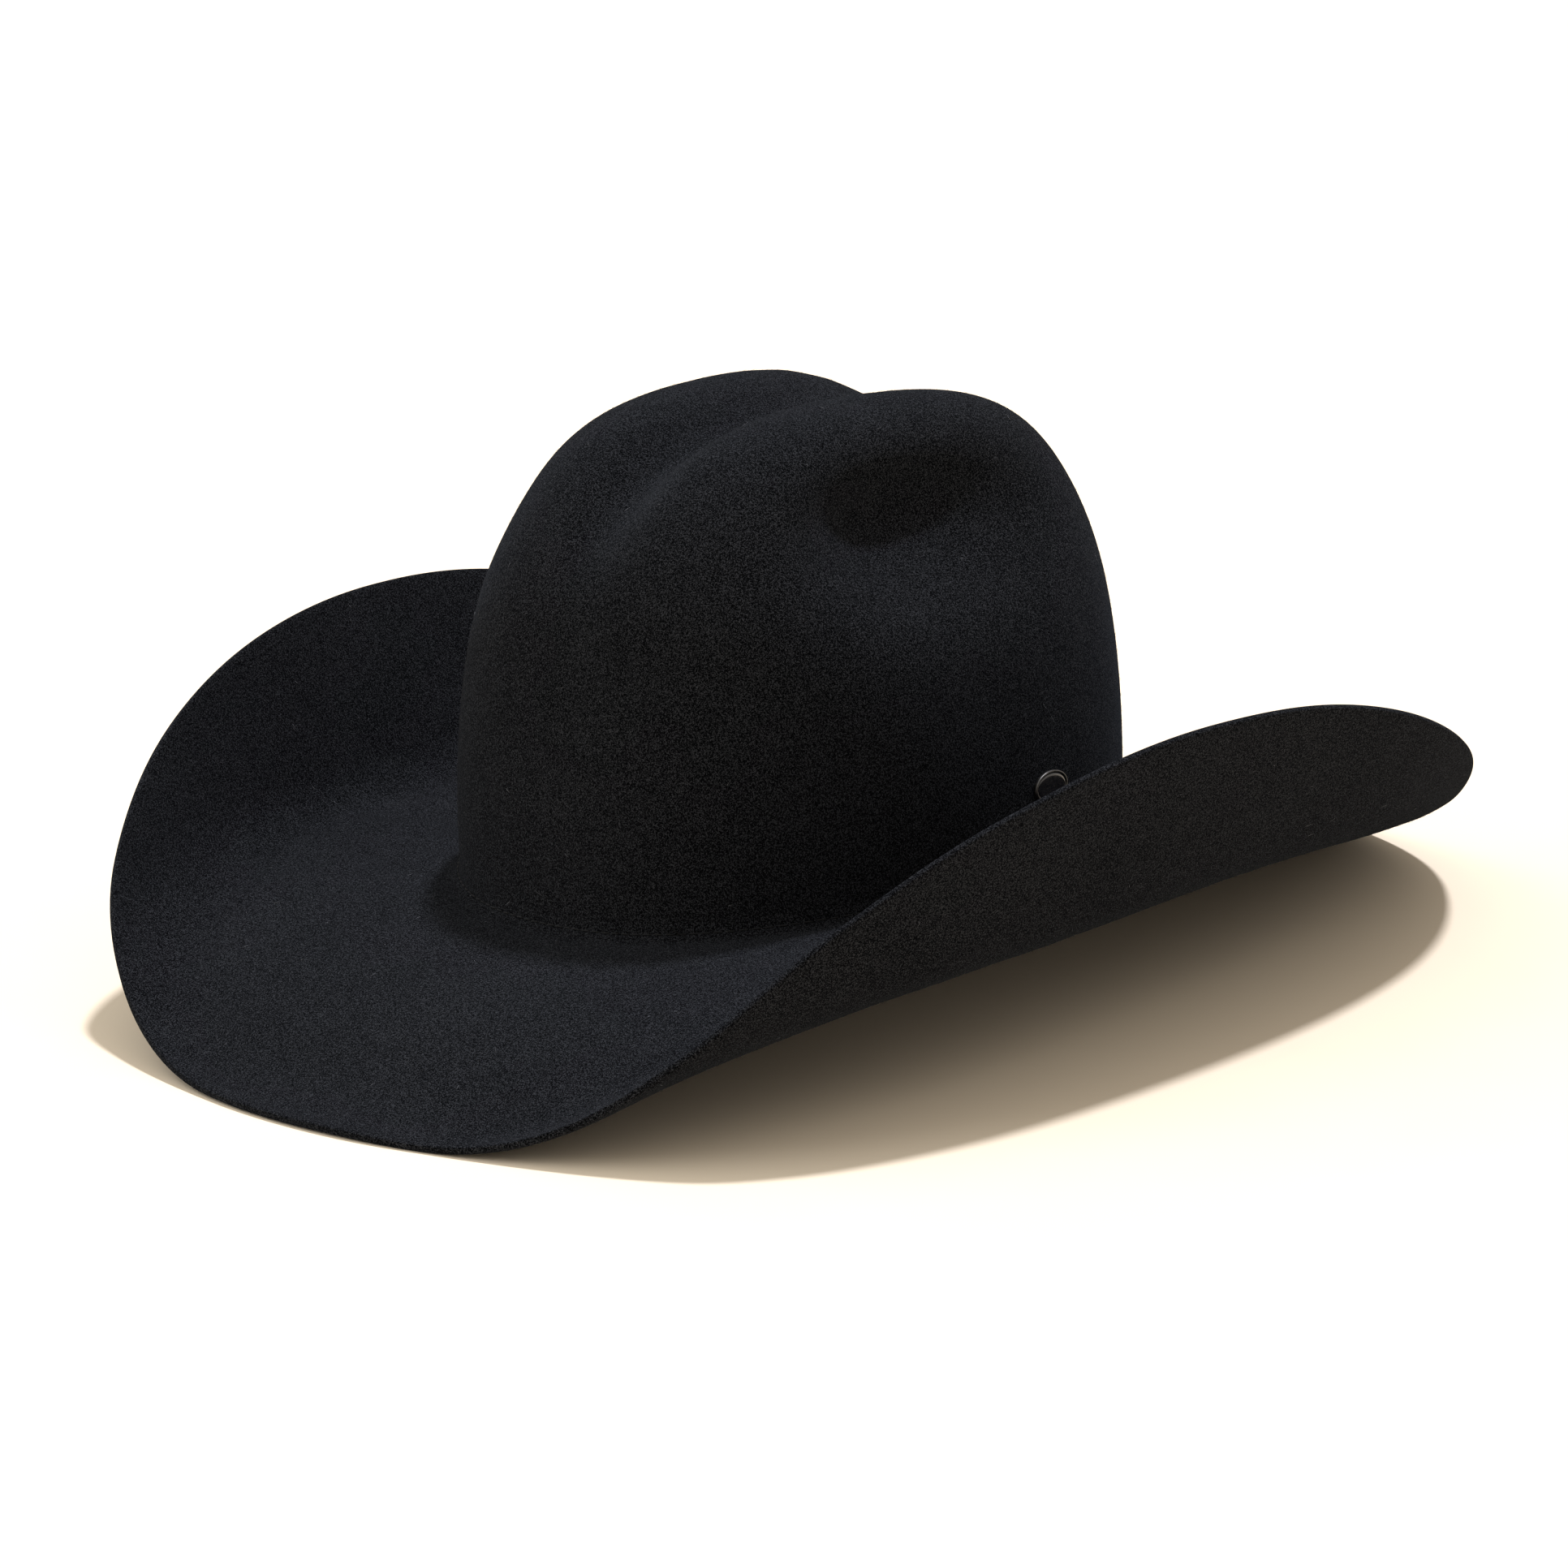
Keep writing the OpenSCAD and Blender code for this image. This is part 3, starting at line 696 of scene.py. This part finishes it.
PLATE_OFF, PLATE_T, RIM_TOP, RIM_W = 0.1, 0.7, 1.3, 0.9
RIM_PROFILE = (  # inset from the plate's outline, and height off its back
    (0.25, 0), (0.06, 0.06), (0, 0.2), (0, 0.85), (0.05, 1.05), (0.16, 1.2), (0.32, 1.28),
    (0.46, RIM_TOP), (0.6, 1.28), (0.74, 1.2), (0.84, 1.06), (RIM_W, 0.9),
    (RIM_W, PLATE_T + 0.02), (RIM_W + 0.2, PLATE_T), (RIM_W + 1.5, PLATE_T),
)
ENAMEL_GAP, ENAMEL_SPAN, ENAMEL_SIDE, ENAMEL_DOME = 0.06, 3.9, 0.12, 0.46


def oval_ring(l, h, n=72):
    """Points round an oval of length l and height h."""
    a = np.linspace(0, 2 * np.pi, n, endpoint=False)
    return np.stack([l / 2 * np.cos(a), h / 2 * np.sin(a)], -1)


def turned_oval(name, profile):
    """An oval plate from a profile of (inset, height) in mm, closed at both ends."""
    rings = []
    for inset, high in profile:
        ring = oval_ring(BADGE_L - 2 * inset, BADGE_H - 2 * inset)
        rings.append(np.column_stack([ring, np.full(len(ring), high)]))
    n = len(rings[0])
    faces = []
    for j in range(len(rings) - 1):
        for i in range(n):
            k = (i + 1) % n
            faces.append([j * n + i, j * n + k, (j + 1) * n + k, (j + 1) * n + i])
    faces.append(list(range(n))[::-1])
    faces.append([(len(rings) - 1) * n + i for i in range(n)])
    points = placed(np.concatenate(rings), BADGE_PHI, level(BADGE_Z), 0)
    return make(name, points, faces, body="badge")


def badge():
    """The badge's plate with its raised rim, and the domed enamel inside the rim."""
    rim = turned_oval("badge_rim", [(inset, high + PLATE_OFF) for inset, high in RIM_PROFILE])
    inner, low = RIM_W + ENAMEL_GAP, PLATE_T + PLATE_OFF + 0.01
    enamel = [(inner, low)]
    for s in np.linspace(0, 1, 12):
        inset = inner + ENAMEL_SPAN * (1 - np.sqrt(1 - s**2)) + 0.02 * s
        enamel.append((inset, low + ENAMEL_SIDE + ENAMEL_DOME * s * (2 - s) * 0.72))
    return rim, turned_oval("badge_face", enamel)


# ---------------------------------------------------------------- materials
# Colours are linear. The felt's and the thread's were matched to the photograph.

FELT_DARK = (0.0010, 0.0011, 0.0013)
FELT_MID = (0.0042, 0.0045, 0.0052)
FELT_LIGHT = (0.0275, 0.0292, 0.0328)
FELT_SHEEN = 0.028
FELT_SHEEN_TINT = (0.75, 0.85, 1.0, 1.0)
NAP = (0.018, 0.019, 0.023)
LINT = (0.16, 0.165, 0.18)
THREAD = (0.0095, 0.0099, 0.0110)
THREAD_END = (0.0070, 0.0074, 0.0085)
LINING = (0.035, 0.035, 0.041)
PATCH = (0.075, 0.075, 0.088)
PIPING = (0.020, 0.020, 0.024)
SWEATBAND = (0.026, 0.026, 0.029)
REED = (0.022, 0.022, 0.025)
RIBBON = (0.022, 0.022, 0.027)
LABEL = (0.62, 0.61, 0.57)
BADGE_METAL = (0.060, 0.058, 0.055)
ENAMEL_DARK, ENAMEL_LIGHT = (0.006, 0.006, 0.007), (0.014, 0.014, 0.016)
STEEL = (0.55, 0.54, 0.52)
BRASS = (0.62, 0.47, 0.22)
PAPER_DARK, PAPER_LIGHT = (0.755, 0.655, 0.505), (0.765, 0.665, 0.515)

WAVE_PERIOD = 0.314  # a wave texture of scale 1 repeats every 0.314 m
TWILL_MM = 0.34
PLY_SCALE = 520.0


def add(tree, kind, settings=None, **sockets):
    """Adds a shader node; sockets are values or other nodes' outputs, by name."""
    node = tree.nodes.new("ShaderNode" + kind)
    for key, value in (settings or {}).items():
        setattr(node, key, value)
    for key, value in sockets.items():
        plug(tree, node.inputs[key.replace("_", " ")], value)
    return node


def plug(tree, socket, value):
    """Links a node's output to a socket, or sets the socket to a value."""
    if isinstance(value, bpy.types.NodeSocket):
        tree.links.new(value, socket)
    else:
        socket.default_value = value


def ramp(tree, fac, stops):
    """Colours along a value; stops are (place, colour)."""
    node = add(tree, "ValToRGB", Fac=fac)
    points = node.color_ramp.elements
    while len(points) < len(stops):
        points.new(0.5)
    for point, (place, colour) in zip(points, stops):
        point.position, point.color = place, (*colour, 1)
    return node.outputs["Color"]


def scaled(tree, fac, low, high):
    """A value from 0 to 1 spread between low and high."""
    return add(tree, "MapRange", Value=fac, To_Min=low, To_Max=high).outputs["Result"]


def maths(tree, operation, a, b):
    """Two values put through a math node."""
    node = add(tree, "Math", {"operation": operation})
    plug(tree, node.inputs[0], a)
    plug(tree, node.inputs[1], b)
    return node.outputs[0]


def times(tree, a, b):
    return maths(tree, "MULTIPLY", a, b)


def plus(tree, a, b):
    return maths(tree, "ADD", a, b)


def noise(tree, place, size_mm, detail=2.0, rough=0.5):
    """Noise with features of about that size."""
    scale = 1000.0 / size_mm
    node = add(tree, "TexNoise", Vector=place, Scale=scale, Detail=detail, Roughness=rough)
    return node.outputs["Fac"]


def stripes(tree, place, direction, scale, distortion, detail=2.0):
    """Parallel stripes of a wave texture."""
    return add(
        tree, "TexWave", {"bands_direction": direction},
        Vector=place, Scale=scale, Distortion=distortion, Detail=detail,
    ).outputs["Fac"]


def stripe_scale(period_mm):
    """The wave texture's scale for stripes that far apart."""
    return WAVE_PERIOD / (period_mm * MM)


def shade(colour, share):
    """A darker or lighter version of a colour."""
    return tuple(c * share for c in colour)


def start(name):
    """A new material, its nodes, and its object and UV coordinates."""
    material = bpy.data.materials.new(name)
    material.use_nodes = True
    tree = material.node_tree
    tree.nodes.clear()
    places = add(tree, "TexCoord")
    return material, tree, places.outputs["Object"], places.outputs["UV"]


def close(tree, bump=None, depth_mm=0.1, strength=1.0, **sockets):
    """Ends a material in a Principled surface, with an optional bump."""
    if bump is not None:
        node = add(tree, "Bump", Height=bump, Distance=depth_mm * MM, Strength=strength)
        sockets["Normal"] = node.outputs["Normal"]
    surface = add(tree, "BsdfPrincipled", **sockets)
    add(tree, "OutputMaterial", Surface=surface.outputs["BSDF"])


def felt_material():
    """Wool felt: matted grain, faint mottling, and a nap that greys at glancing angles."""
    material, tree, place, _ = start("felt")
    grain = noise(tree, place, 0.6, 2.0, 0.6)
    fine = noise(tree, place, 0.3, 1.0)
    mottle = noise(tree, place, 7.0, 2.0, 0.6)
    cloud = noise(tree, place, 46.0, 2.0)
    both = plus(tree, times(tree, grain, 0.5), times(tree, fine, 0.5))
    wide = plus(tree, scaled(tree, mottle, -0.02, 0.02), scaled(tree, cloud, -0.02, 0.02))
    tones = [(0.40, FELT_DARK), (0.5, FELT_MID), (0.61, FELT_LIGHT)]
    close(
        tree, both, depth_mm=0.34, strength=0.8,
        Base_Color=ramp(tree, plus(tree, both, wide), tones),
        Roughness=1.0, Specular_IOR_Level=0.0,
        Sheen_Weight=FELT_SHEEN, Sheen_Roughness=0.42, Sheen_Tint=FELT_SHEEN_TINT,
    )
    return material


def plain_fibre(name, colour, spread):
    """Loose fibres, a little different from place to place."""
    material, tree, place, _ = start(name)
    tones = [(0.35, shade(colour, 1 - spread)), (0.65, shade(colour, 1 + spread))]
    close(tree, Base_Color=ramp(tree, noise(tree, place, 3.0, 1.0), tones), Roughness=0.8)
    return material


def thread_material(name, colour, sheen=0.3, shine=0.5):
    """Spun thread with slanting plies, with painted shade in the grooves between them."""
    material, tree, place, _ = start(name)
    plies = stripes(tree, place, "DIAGONAL", PLY_SCALE, 1.5)
    # Painted shade: the colour is darker where the plies' bump is low, times a random tone.
    tone = times(tree, plies, noise(tree, place, 0.25))
    close(
        tree, plies, depth_mm=0.08, strength=0.6,
        Base_Color=ramp(tree, tone, [(0.1, shade(colour, 0.45)), (0.6, colour)]),
        Roughness=0.6, Sheen_Weight=sheen, Specular_IOR_Level=shine,
    )
    return material


def ribbed(name, colour, rib_mm, weft_mm, rough=0.62, depth_mm=0.14):
    """Grosgrain or tape: ribs one way and fine threads the other, with painted shade in the
    grooves between them.
    """
    material, tree, place, lie = start(name)
    ribs = stripes(tree, lie, "X", stripe_scale(rib_mm), 0.15, 1.0)
    weft = stripes(tree, lie, "Y", stripe_scale(weft_mm), 0.3, 1.0)
    height = times(tree, ribs, scaled(tree, weft, 0.72, 1.0))
    # Painted shade: darker where the ribs and threads are low, times a random tone.
    tone = times(tree, height, scaled(tree, noise(tree, place, 14.0, 2.0), 0.75, 1.15))
    close(
        tree, height, depth_mm, strength=0.9,
        Base_Color=ramp(tree, tone, [(0.05, shade(colour, 0.4)), (0.85, colour)]),
        Roughness=rough, Sheen_Weight=0.25, Specular_IOR_Level=0.35,
    )
    return material


def satin(name, colour):
    """Satin: long floats over a fine twill, soft and directional in its shine, with painted shade
    in the twill's grooves.
    """
    material, tree, place, lie = start(name)
    floats = stripes(tree, lie, "DIAGONAL", stripe_scale(TWILL_MM), 0.4)
    slub = noise(tree, place, 5.0, 3.0, 0.6)
    # Painted shade: the colour is darker where the twill's bump is low; the slub adds a random
    # tone.
    height = times(tree, floats, slub)
    close(
        tree, height, depth_mm=0.035, strength=0.7,
        Base_Color=ramp(tree, height, [(0.1, shade(colour, 0.7)), (0.7, colour)]),
        Roughness=scaled(tree, slub, 0.3, 0.44),
        Specular_IOR_Level=0.6, Anisotropic=0.55, Sheen_Weight=0.2,
    )
    return material


def metal(name, colour, rough, wear):
    """Plated metal with fine scratches, and patches brighter by the factor wear."""
    material, tree, place, _ = start(name)
    scratches = noise(tree, place, 0.18, 4.0, 0.7)
    blotch = noise(tree, place, 2.2, 2.0)
    worn = tuple(min(1.0, c) for c in shade(colour, wear))
    close(
        tree, scratches, depth_mm=0.012, strength=0.6,
        Base_Color=ramp(tree, blotch, [(0.42, colour), (0.68, worn)]),
        Metallic=1.0, Roughness=scaled(tree, scratches, rough * 0.75, rough * 1.35),
    )
    return material


def enamel_material():
    """Glossy enamel with a faint cloudiness under its surface."""
    material, tree, place, _ = start("badge_enamel")
    cloud = noise(tree, place, 1.6, 3.0)
    close(
        tree, noise(tree, place, 3.5, 1.0), depth_mm=0.03, strength=0.5,
        Base_Color=ramp(tree, cloud, [(0.4, ENAMEL_DARK), (0.7, ENAMEL_LIGHT)]),
        Roughness=scaled(tree, cloud, 0.12, 0.22), Coat_Weight=0.6, Coat_Roughness=0.06,
    )
    return material


def paper_material():
    """Matt pale paper, very slightly uneven."""
    material, tree, place, _ = start("paper")
    tones = [(0.3, PAPER_DARK), (0.7, PAPER_LIGHT)]
    cloud = noise(tree, place, 60.0, 2.0)
    close(tree, Base_Color=ramp(tree, cloud, tones), Roughness=0.9, Specular_IOR_Level=0.1)
    return material


def finish_piece(obj, material, slot, *stands_for):
    """Gives a piece its material and hides the CAD nodes that it stands for; slot is not used."""
    obj.data.materials.clear()
    obj.data.materials.append(material)
    if stands_for:
        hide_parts(*stands_for)
    return obj


# ---------------------------------------------------------------- the felt, its nap and thread

finish_piece(pierced(felt()), felt_material(), "felt", "felt_body")

nap_look = plain_fibre("nap", NAP, 0.5)
for name, v_range, seed, share_under in (
    ("nap_crown", (0.02, 1.3), 11, 0.0),
    ("nap_brim", (1.55, 2.99), 12, 0.5),
):
    nap = fibres(
        name, SEED + seed, 12500, v_range,
        length=(0.5, 1.5), radius=0.028, lift=(0.1, 0.45), share_under=share_under,
    )
    finish_piece(nap, nap_look, "felt")
lint = fibres(
    "lint", SEED + 20, 420, (0.02, 2.98),
    length=(0.6, 2.6), radius=0.035, lift=(0.05, 0.3), share_under=0.45,
)
finish_piece(lint, plain_fibre("lint", LINT, 0.4), "felt")

thread_look = thread_material("thread", THREAD, sheen=0.0, shine=0.15)
finish_piece(stitching(), thread_look, "thread", "sweatband_stitching")
end_look = thread_material("thread_end", THREAD_END, sheen=0.0, shine=0.1)
finish_piece(knot(), end_look, "thread", "thread_knot")

# ---------------------------------------------------------------- the lining

satin_look = satin("lining_satin", LINING)
tip_rows = np.linspace(TOP_V, LINING_SEAM - SEAM_GAP, 40)
tip = lining_sheet("lining_crown", tip_rows, dome=True)
finish_piece(tip, satin_look, "lining_satin", "lining_tip")
side_rows = np.concatenate([
    np.linspace(LINING_SEAM + SEAM_GAP, 0.9, 50),
    np.linspace(0.9, level(LINING_LOW), 9)[1:],
])
side = lining_sheet("lining_wall", side_rows)
finish_piece(side, satin_look, "lining_satin", "lining_side")
patch_rows = np.concatenate([np.linspace(TOP_V, 0.29, 20), [0.296, PATCH_EDGE]])
crest = raised_patch(
    "tip_patch", ROUND, patch_rows, LINING_IN + 0.1, LINING_IN + 0.4, dome=True
)
finish_piece(crest, satin("patch_satin", PATCH), "patch_satin", "lining_patch")
piping = bead("seam_piping", LINING_SEAM, LINING_IN + 0.9, PIPING_R, ribs=260, sides=14)
finish_piece(piping, thread_material("piping", PIPING), "piping_satin", "lining_piping")

# ---------------------------------------------------------------- the sweatband

band_phis = np.concatenate([
    [SPLICE_PHI + BAND_GAP],
    np.linspace(SPLICE_PHI, SPLICE_PHI + 360, 361)[1:-1],
    [SPLICE_PHI + 360 - BAND_GAP],
])
band_rows = np.concatenate([
    [level(SWEATBAND_H - h) for h in (0.0, 0.12, 0.4, 1.0, 2.0)],
    [level(z) for z in np.linspace(SWEATBAND_H - 4, BREAK_R + 1, 18)],
    np.linspace(1.0, SWEATBAND_END, 8)[1:],
])
weave = ribbed("sweatband_cloth", SWEATBAND, 0.9, 0.3)
sweat = raised_patch("sweat_band", band_phis, band_rows, SWEATBAND_D, INSIDE_D)
finish_piece(sweat, weave, "sweatband_cloth", "sweatband")
reed = bead("reed", REED_AT, SWEATBAND_D + SWEATBAND_T / 2, REED_R, ribs=0, sides=16)
finish_piece(reed, thread_material("reed_tape", REED), "reed_tape", "sweatband_reed")
splice = raised_patch(
    "splice_tab", np.linspace(SPLICE_PHI - SPLICE_HALF, SPLICE_PHI + SPLICE_HALF, 24),
    [level(z) for z in np.linspace(SPLICE_HIGH, SPLICE_LOW, 26)],
    INSIDE_D + 0.3, INSIDE_D + 1.1,
)
finish_piece(splice, weave, "sweatband_cloth", "sweatband_splice")
ribbon_look = ribbed("ribbon", RIBBON, 0.45, 0.2, rough=0.5, depth_mm=0.08)
finish_piece(bow(), ribbon_look, "ribbon", "sweatband_bow")

# ---------------------------------------------------------------- the labels

tape = ribbed("label_tape", LABEL, 0.32, 0.3, rough=0.8, depth_mm=0.05)
size_phis = np.linspace(SIZE_LABEL_PHI - SIZE_LABEL_HALF, SIZE_LABEL_PHI + SIZE_LABEL_HALF, 16)
size_rows = [level(z) for z in np.linspace(SIZE_LABEL_HIGH, SIZE_LABEL_LOW, 16)]
size_tag = raised_patch("size_tag", size_phis, size_rows, INSIDE_D + 0.3, INSIDE_D + 0.5, curl=0.5)
finish_piece(size_tag, tape, "label_tape", "size_label")
care_tag = raised_patch(
    "care_tag", np.linspace(*CARE_LABEL_PHIS, 20), np.linspace(*CARE_LABEL_VS, 24),
    LINING_IN + 0.06, LINING_IN + 0.21,
)
finish_piece(care_tag, tape, "label_tape", "care_label")

# ---------------------------------------------------------------- the badge's pieces and nodes

badge_rim, badge_face = badge()
badge_look = metal("badge_metal", BADGE_METAL, rough=0.38, wear=1.8)
finish_piece(badge_rim, badge_look, "badge_metal", "badge_plate")
finish_piece(badge_face, enamel_material(), "badge_enamel", "badge_enamel")
for kind, look in (
    ("post", metal("post_metal", STEEL, rough=0.3, wear=1.2)),
    ("clutch", metal("clutch_brass", BRASS, rough=0.32, wear=1.15)),
):
    for end in ("front", "rear"):
        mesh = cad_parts[f"badge_{kind}_{end}"].data
        mesh.materials.clear()
        mesh.materials.append(look)
        mesh.shade_smooth()
        mesh.set_sharp_from_angle(angle=math.radians(35))

# ---------------------------------------------------------------- camera, floor and light

CAMERA_EYE = (1.40808, -1.38837, 0.58275)
CAMERA_RIGHT = (0.71366, 0.69698, -0.07001)
CAMERA_UP = (-0.13202, 0.23198, 0.96372)
CAMERA_LENS, SENSOR_W = 148.72, 36
CAMERA_CLIP = (0.05, 60)
FLOOR_HALF = 12.0
WORLD_COLOUR, WORLD_STRENGTH = (1.0, 0.93, 0.86, 1), 0.8

right, up = Vector(CAMERA_RIGHT).normalized(), Vector(CAMERA_UP).normalized()
facing = Matrix((right, up, right.cross(up))).transposed().to_4x4()
camera = bpy.data.objects.new("camera", bpy.data.cameras.new("camera"))
camera.matrix_world = Matrix.Translation(CAMERA_EYE) @ facing
camera.data.lens, camera.data.sensor_width = CAMERA_LENS, SENSOR_W
camera.data.clip_start, camera.data.clip_end = CAMERA_CLIP
bpy.context.scene.collection.objects.link(camera)
bpy.context.scene.camera = camera

floor_mesh = bpy.data.meshes.new("floor")
corners = [(x * FLOOR_HALF, y * FLOOR_HALF, 0) for x, y in ((-1, -1), (1, -1), (1, 1), (-1, 1))]
floor_mesh.from_pydata(corners, [], [(0, 1, 2, 3)])
floor_mesh.materials.append(paper_material())
floor = bpy.data.objects.new("floor", floor_mesh)
bpy.context.scene.collection.objects.link(floor)


def sun(name, azimuth, elevation, strength, colour, angle):
    """Distant soft light; azimuth runs from +X towards +Y, and all angles are in degrees."""
    data = bpy.data.lights.new(name, "SUN")
    data.energy, data.color, data.angle = strength, colour, math.radians(angle)
    lamp = bpy.data.objects.new(name, data)
    a, e = math.radians(azimuth), math.radians(elevation)
    towards = Vector((math.cos(a) * math.cos(e), math.sin(a) * math.cos(e), math.sin(e)))
    lamp.rotation_mode = "QUATERNION"
    lamp.rotation_quaternion = towards.to_track_quat("Z", "Y")
    bpy.context.scene.collection.objects.link(lamp)


sun("key", azimuth=96, elevation=68, strength=3.4, colour=(1.0, 1.02, 1.14), angle=5)
sun("fill", azimuth=215, elevation=38, strength=1.0, colour=(0.90, 0.95, 1.0), angle=60)

world = bpy.data.worlds.new("studio")
world.use_nodes = True
background = world.node_tree.nodes["Background"]
background.inputs["Color"].default_value = WORLD_COLOUR
background.inputs["Strength"].default_value = WORLD_STRENGTH
bpy.context.scene.world = world
bpy.context.scene.view_settings.view_transform = "Standard"
